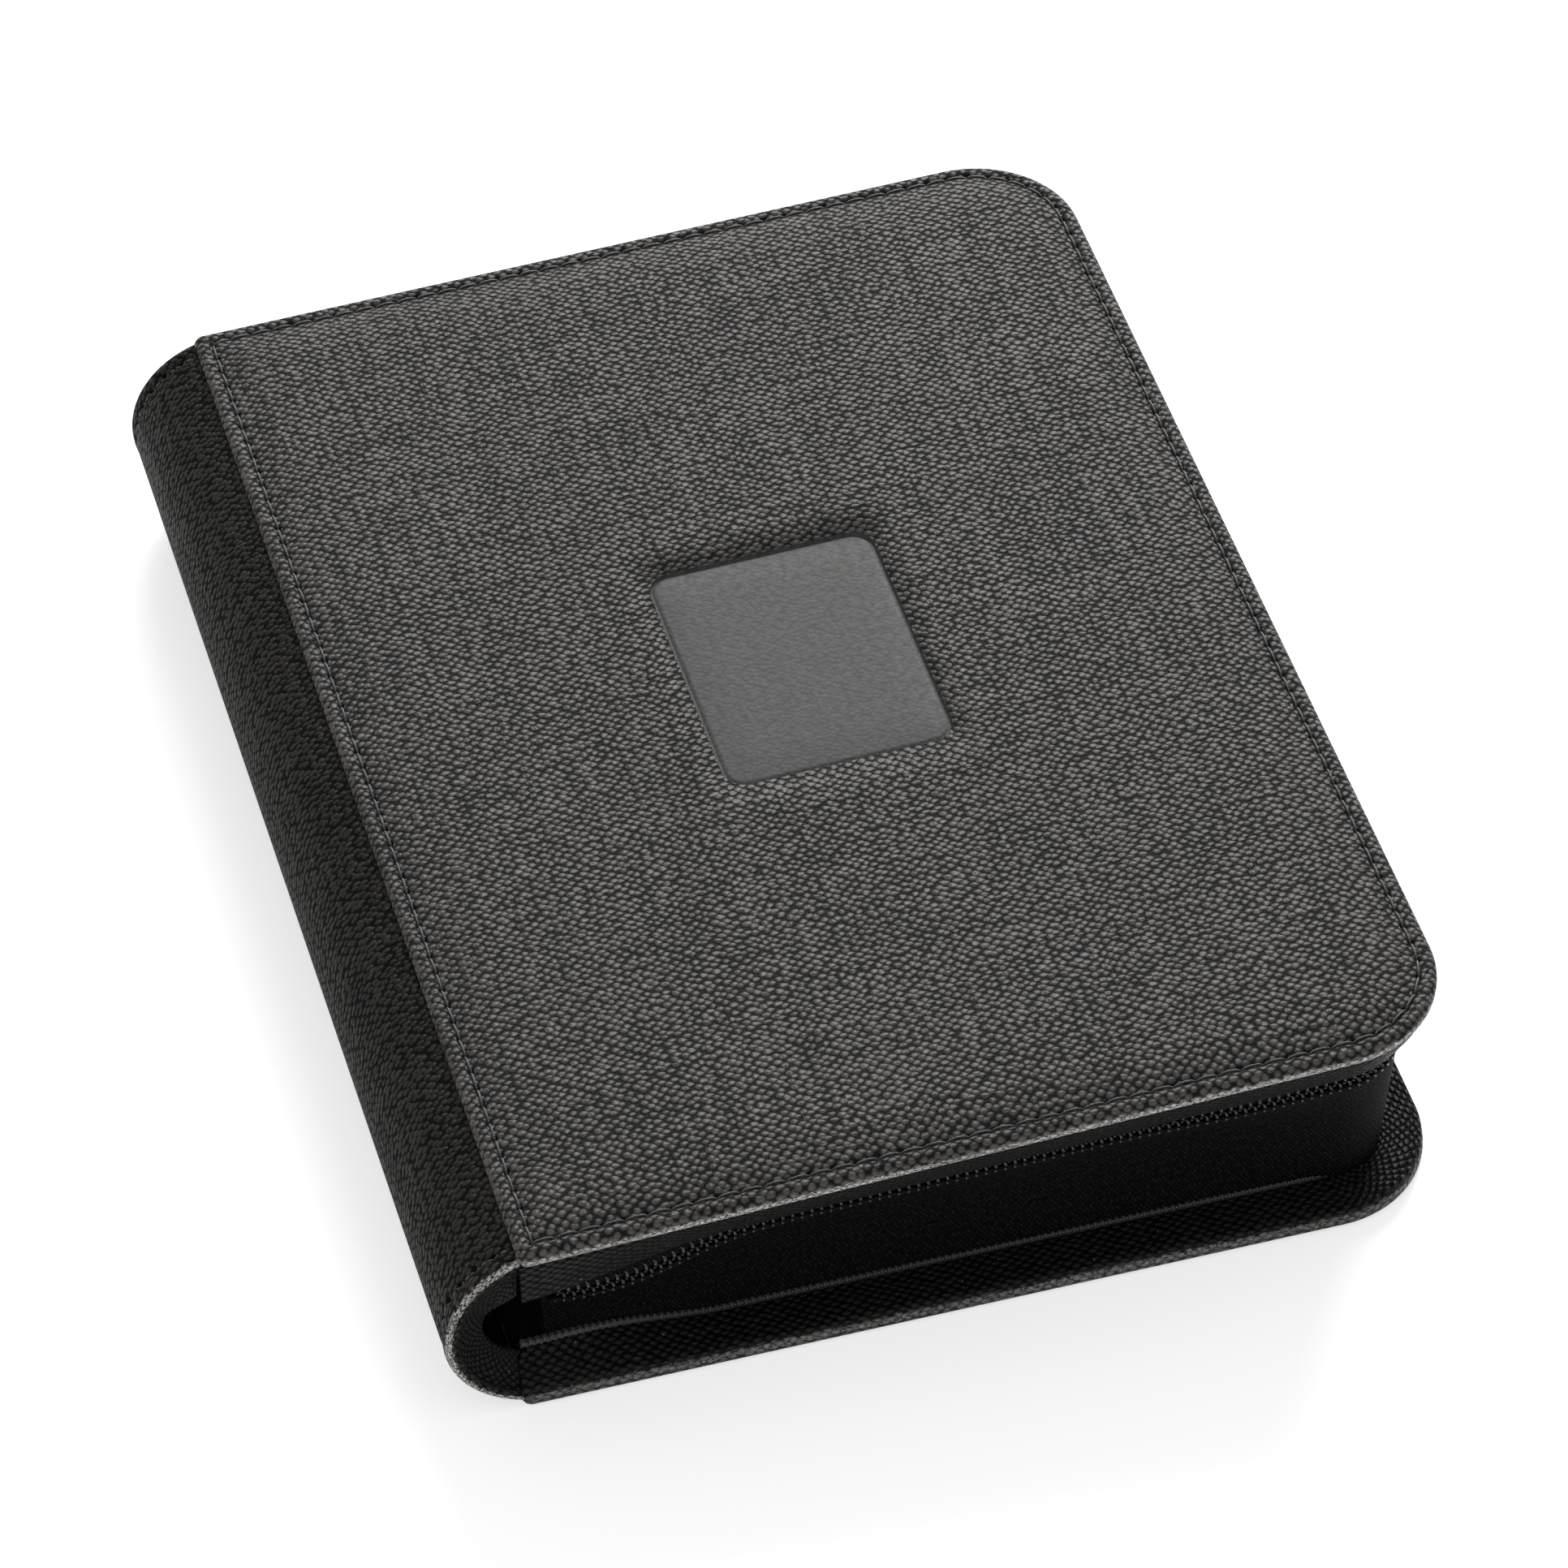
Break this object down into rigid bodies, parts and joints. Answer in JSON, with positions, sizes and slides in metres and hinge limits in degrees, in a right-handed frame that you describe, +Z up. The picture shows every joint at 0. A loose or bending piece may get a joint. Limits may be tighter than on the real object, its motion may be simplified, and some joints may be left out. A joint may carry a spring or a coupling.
{
  "type": "zip-up trading card binder",
  "caption": "Zip-up trading card binder: two padded covers, half-round spine, coil zipper on three sides, bound side-loading pocket pages.",
  "frame": {"origin": "middle of the back cover's outer face, which it lies on", "axes": "+X from the spine to the fore edge, +Y along the spine towards the slider's end, +Z up through the closed binder"},
  "size_m": [0.162, 0.215, 0.0407],
  "materials": {
    "cover_leatherette": "pebbled weave-grain leatherette, satin, charcoal",
    "spine_leatherette": "pebbled weave-grain leatherette, satin, darker charcoal",
    "hem_leatherette": "turned-in leatherette, fine brick-like grain",
    "foam": "thin closed-cell foam sheet",
    "board": "stiff grey board",
    "lining": "fine black woven lining",
    "thread": "black bonded thread, slight sheen",
    "zipper_tape": "black herringbone zipper tape",
    "zipper_coil": "black nylon coil",
    "end_stop": "black moulded end stop",
    "slider_metal": "black lacquered zinc",
    "pull_leatherette": "folded leatherette strip",
    "stiffener": "bent plastic sheet",
    "binding": "black plastic binding strip",
    "page": "black core under clear welded pockets"
  },
  "bodies": {
    "back_cover": {"back_skin": "cover_leatherette", "back_foam": "foam", "back_board": "board", "back_liner": "lining", "back_hem": "hem_leatherette", "back_thread": "thread", "back_zipper_tape": "zipper_tape", "back_zipper_coil": "zipper_coil", "back_coil_stop": "end_stop"},
    "spine": {"spine_skin": "spine_leatherette", "spine_stiffener": "stiffener", "spine_liner": "lining", "near_spine_hem": "hem_leatherette", "far_spine_hem": "hem_leatherette", "binding_strip": "binding"},
    "front_cover": {"front_skin": "cover_leatherette", "front_foam": "foam", "front_board": "board", "front_liner": "lining", "front_hem": "hem_leatherette", "front_thread": "thread", "front_zipper_tape": "zipper_tape", "front_zipper_coil": "zipper_coil", "front_coil_stops": "end_stop"},
    "slider": {"slider_body": "slider_metal", "slider_bridge": "slider_metal"},
    "pull": {"pull_ring": "slider_metal", "pull_tab": "pull_leatherette"},
    "page_01": {"page_01": "page"},
    "page_02": {"page_02": "page"},
    "page_03": {"page_03": "page"},
    "page_04": {"page_04": "page"},
    "page_05": {"page_05": "page"},
    "page_06": {"page_06": "page"},
    "page_07": {"page_07": "page"},
    "page_08": {"page_08": "page"},
    "page_09": {"page_09": "page"},
    "page_10": {"page_10": "page"},
    "page_11": {"page_11": "page"},
    "page_12": {"page_12": "page"},
    "page_13": {"page_13": "page"},
    "page_14": {"page_14": "page"},
    "page_15": {"page_15": "page"},
    "page_16": {"page_16": "page"},
    "page_17": {"page_17": "page"},
    "page_18": {"page_18": "page"},
    "page_19": {"page_19": "page"},
    "page_20": {"page_20": "page"}
  },
  "joints": [
    {"name": "cover_fold", "type": "hinge", "parent": "spine", "child": "front_cover", "pos_m": [-0.07525, 0, 0.0341], "axis": [0, -1, 0], "range_deg": [0, 145]},
    {"name": "spine_fold", "type": "hinge", "parent": "back_cover", "child": "spine", "pos_m": [-0.07525, 0, 0.0007], "axis": [0, -1, 0], "range_deg": [0, 40.5]},
    {"name": "page_01_turn", "type": "hinge", "parent": "spine", "child": "page_01", "pos_m": [-0.07635, 0, 0.0062], "axis": [0, -1, 0], "range_deg": [-40.5, 0.5]},
    {"name": "page_02_turn", "type": "hinge", "parent": "spine", "child": "page_02", "pos_m": [-0.07635, 0, 0.00738], "axis": [0, -1, 0], "range_deg": [-34.97, 0.5]},
    {"name": "page_03_turn", "type": "hinge", "parent": "spine", "child": "page_03", "pos_m": [-0.07635, 0, 0.00856], "axis": [0, -1, 0], "range_deg": [-29.45, 0.5]},
    {"name": "page_04_turn", "type": "hinge", "parent": "spine", "child": "page_04", "pos_m": [-0.07635, 0, 0.00974], "axis": [0, -1, 0], "range_deg": [-23.92, 0.5]},
    {"name": "page_05_turn", "type": "hinge", "parent": "spine", "child": "page_05", "pos_m": [-0.07635, 0, 0.01092], "axis": [0, -1, 0], "range_deg": [-18.39, 0.5]},
    {"name": "page_06_turn", "type": "hinge", "parent": "spine", "child": "page_06", "pos_m": [-0.07635, 0, 0.01209], "axis": [0, -1, 0], "range_deg": [-12.87, 0.5]},
    {"name": "page_07_turn", "type": "hinge", "parent": "spine", "child": "page_07", "pos_m": [-0.07635, 0, 0.01327], "axis": [0, -1, 0], "range_deg": [-7.34, 0.5]},
    {"name": "page_08_turn", "type": "hinge", "parent": "spine", "child": "page_08", "pos_m": [-0.07635, 0, 0.01445], "axis": [0, -1, 0], "range_deg": [-1.82, 0.5]},
    {"name": "page_09_turn", "type": "hinge", "parent": "spine", "child": "page_09", "pos_m": [-0.07635, 0, 0.01563], "axis": [0, -1, 0], "range_deg": [-0.5, 4.71]},
    {"name": "page_10_turn", "type": "hinge", "parent": "spine", "child": "page_10", "pos_m": [-0.07635, 0, 0.01681], "axis": [0, -1, 0], "range_deg": [-0.5, 10.24]},
    {"name": "page_11_turn", "type": "hinge", "parent": "spine", "child": "page_11", "pos_m": [-0.07635, 0, 0.01799], "axis": [0, -1, 0], "range_deg": [-0.5, 15.76]},
    {"name": "page_12_turn", "type": "hinge", "parent": "spine", "child": "page_12", "pos_m": [-0.07635, 0, 0.01917], "axis": [0, -1, 0], "range_deg": [-0.5, 21.29]},
    {"name": "page_13_turn", "type": "hinge", "parent": "spine", "child": "page_13", "pos_m": [-0.07635, 0, 0.02035], "axis": [0, -1, 0], "range_deg": [-0.5, 26.82]},
    {"name": "page_14_turn", "type": "hinge", "parent": "spine", "child": "page_14", "pos_m": [-0.07635, 0, 0.02153], "axis": [0, -1, 0], "range_deg": [-0.5, 32.34]},
    {"name": "page_15_turn", "type": "hinge", "parent": "spine", "child": "page_15", "pos_m": [-0.07635, 0, 0.0227], "axis": [0, -1, 0], "range_deg": [-0.5, 37.87]},
    {"name": "page_16_turn", "type": "hinge", "parent": "spine", "child": "page_16", "pos_m": [-0.07635, 0, 0.02388], "axis": [0, -1, 0], "range_deg": [-0.5, 43.4]},
    {"name": "page_17_turn", "type": "hinge", "parent": "spine", "child": "page_17", "pos_m": [-0.07635, 0, 0.02506], "axis": [0, -1, 0], "range_deg": [-0.5, 48.92]},
    {"name": "page_18_turn", "type": "hinge", "parent": "spine", "child": "page_18", "pos_m": [-0.07635, 0, 0.02624], "axis": [0, -1, 0], "range_deg": [-0.5, 54.45]},
    {"name": "page_19_turn", "type": "hinge", "parent": "spine", "child": "page_19", "pos_m": [-0.07635, 0, 0.02742], "axis": [0, -1, 0], "range_deg": [-0.5, 59.97]},
    {"name": "page_20_turn", "type": "hinge", "parent": "spine", "child": "page_20", "pos_m": [-0.07635, 0, 0.0286], "axis": [0, -1, 0], "range_deg": [-0.5, 65.5]},
    {"name": "slider_slide", "type": "slide", "parent": "front_cover", "child": "slider", "axis": [0.9992, 0, 0.0393], "range_m": [0, 0.108]},
    {"name": "pull_swing", "type": "hinge", "parent": "slider", "child": "pull", "pos_m": [-0.06374, 0.10435, 0.02124], "axis": [-0.0393, 0, 0.9992], "range_deg": [0, 120]}
  ],
  "couplings": [
    {"joint": "spine_fold", "follows": "cover_fold", "ratio": 0.27586},
    {"joint": "page_01_turn", "follows": "cover_fold", "ratio": -0.27586},
    {"joint": "page_02_turn", "follows": "cover_fold", "ratio": -0.23775},
    {"joint": "page_03_turn", "follows": "cover_fold", "ratio": -0.19964},
    {"joint": "page_04_turn", "follows": "cover_fold", "ratio": -0.16153},
    {"joint": "page_05_turn", "follows": "cover_fold", "ratio": -0.12341},
    {"joint": "page_06_turn", "follows": "cover_fold", "ratio": -0.085299},
    {"joint": "page_07_turn", "follows": "cover_fold", "ratio": -0.047187},
    {"joint": "page_08_turn", "follows": "cover_fold", "ratio": -0.009074},
    {"joint": "page_09_turn", "follows": "cover_fold", "ratio": 0.029038},
    {"joint": "page_10_turn", "follows": "cover_fold", "ratio": 0.067151},
    {"joint": "page_11_turn", "follows": "cover_fold", "ratio": 0.10526},
    {"joint": "page_12_turn", "follows": "cover_fold", "ratio": 0.14338},
    {"joint": "page_13_turn", "follows": "cover_fold", "ratio": 0.18149},
    {"joint": "page_14_turn", "follows": "cover_fold", "ratio": 0.2196},
    {"joint": "page_15_turn", "follows": "cover_fold", "ratio": 0.25771},
    {"joint": "page_16_turn", "follows": "cover_fold", "ratio": 0.29583},
    {"joint": "page_17_turn", "follows": "cover_fold", "ratio": 0.33394},
    {"joint": "page_18_turn", "follows": "cover_fold", "ratio": 0.37205},
    {"joint": "page_19_turn", "follows": "cover_fold", "ratio": 0.41016},
    {"joint": "page_20_turn", "follows": "cover_fold", "ratio": 0.44828}
  ]
}
